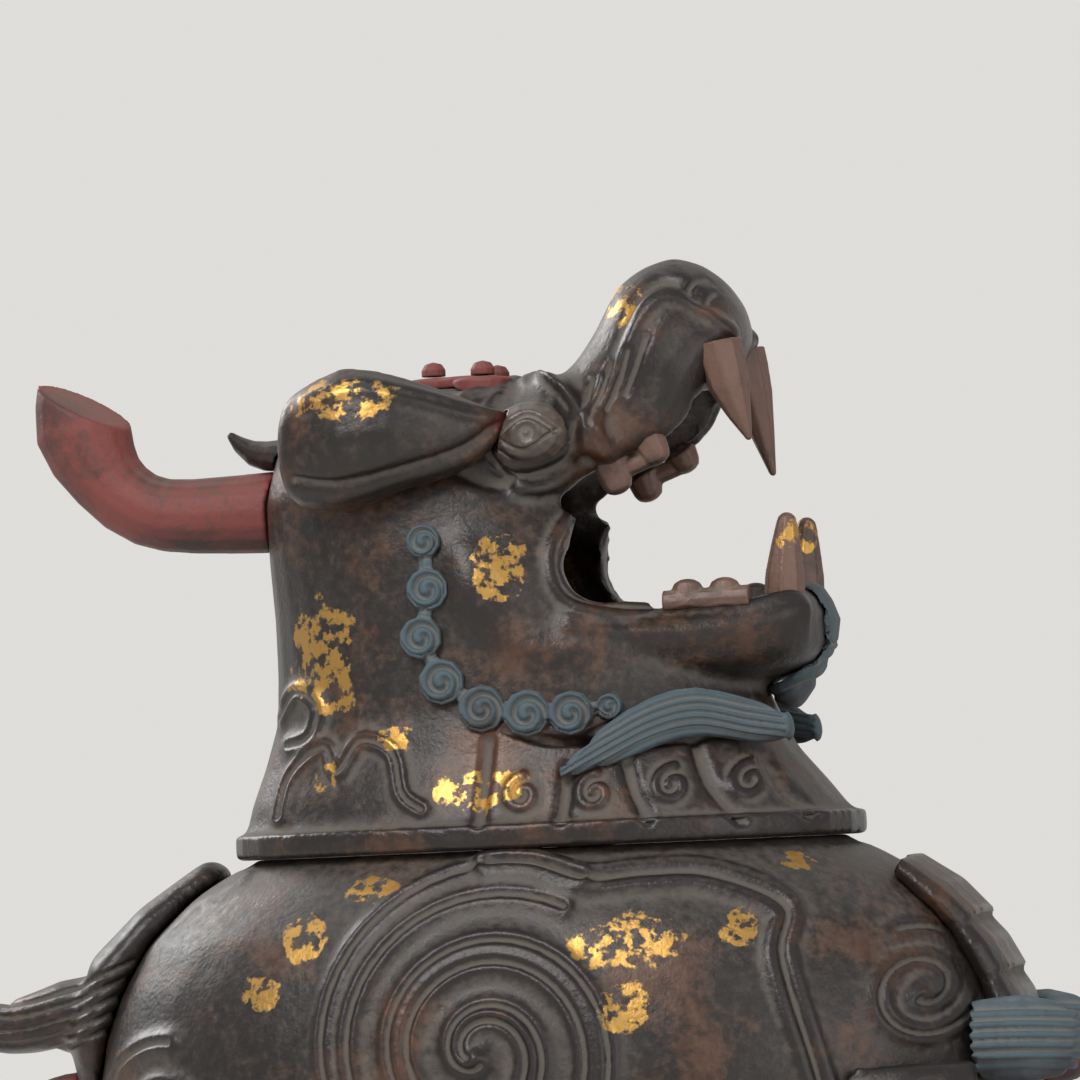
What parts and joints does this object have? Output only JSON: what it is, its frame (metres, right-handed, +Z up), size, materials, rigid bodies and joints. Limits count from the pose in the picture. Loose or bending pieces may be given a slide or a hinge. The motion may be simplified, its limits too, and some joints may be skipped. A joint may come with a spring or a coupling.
{
  "type": "incense burner",
  "caption": "Hollow cast censer in the form of a standing horned beast; its head lifts off as a lid and smoke leaves by the open mouth.",
  "frame": {"origin": "on the ground, below the middle of the overall box", "axes": "+X the way the beast faces, +Y to its left, +Z up"},
  "size_m": [0.3012, 0.156, 0.3012],
  "materials": {
    "lacquered_metal": "dark lacquer over cast metal with worn gold leaf and dust in the recesses",
    "red_pigment": "matt red mineral paint, sooty on its underside",
    "blue_pigment": "matt blue-grey mineral paint over dark lacquer",
    "tooth_gilt": "worn pale paint with traces of gold",
    "liner_metal": "dull unpolished sheet brass"
  },
  "bodies": {
    "body": {"body_shell": "lacquered_metal", "tail": "lacquered_metal", "chest_plates": "lacquered_metal", "chest_flame": "red_pigment", "tail_flame": "red_pigment", "front_leg_right": "lacquered_metal", "rear_leg_right": "lacquered_metal", "chest_curl_right": "blue_pigment", "front_leg_left": "lacquered_metal", "rear_leg_left": "lacquered_metal", "chest_curl_left": "blue_pigment"},
    "head_lid": {"head_shell": "lacquered_metal", "spigot_ring": "liner_metal", "horn": "red_pigment", "nape_lock": "lacquered_metal", "tongue": "red_pigment", "chin_tuft": "blue_pigment", "crest": "red_pigment", "crest_stud_1": "red_pigment", "crest_stud_2": "red_pigment", "crest_stud_3": "red_pigment", "ear_right": "lacquered_metal", "eye_right": "lacquered_metal", "upper_fang_right": "tooth_gilt", "lower_fang_right": "tooth_gilt", "upper_teeth_right": "tooth_gilt", "lower_teeth_right": "tooth_gilt", "hair_curls_right": "blue_pigment", "whisker_right": "blue_pigment", "ear_left": "lacquered_metal", "eye_left": "lacquered_metal", "upper_fang_left": "tooth_gilt", "lower_fang_left": "tooth_gilt", "upper_teeth_left": "tooth_gilt", "lower_teeth_left": "tooth_gilt", "hair_curls_left": "blue_pigment", "whisker_left": "blue_pigment"},
    "liner": {"incense_liner": "liner_metal"}
  },
  "joints": [
    {"name": "head_lift", "type": "slide", "parent": "body", "child": "head_lid", "axis": [0, 0, 1], "range_m": [0, 0.2]},
    {"name": "liner_lift", "type": "slide", "parent": "body", "child": "liner", "axis": [0, 0, 1], "range_m": [0, 0.09]}
  ],
  "couplings": [
    {"joint": "liner_lift", "follows": "head_lift", "ratio": 0.45}
  ]
}
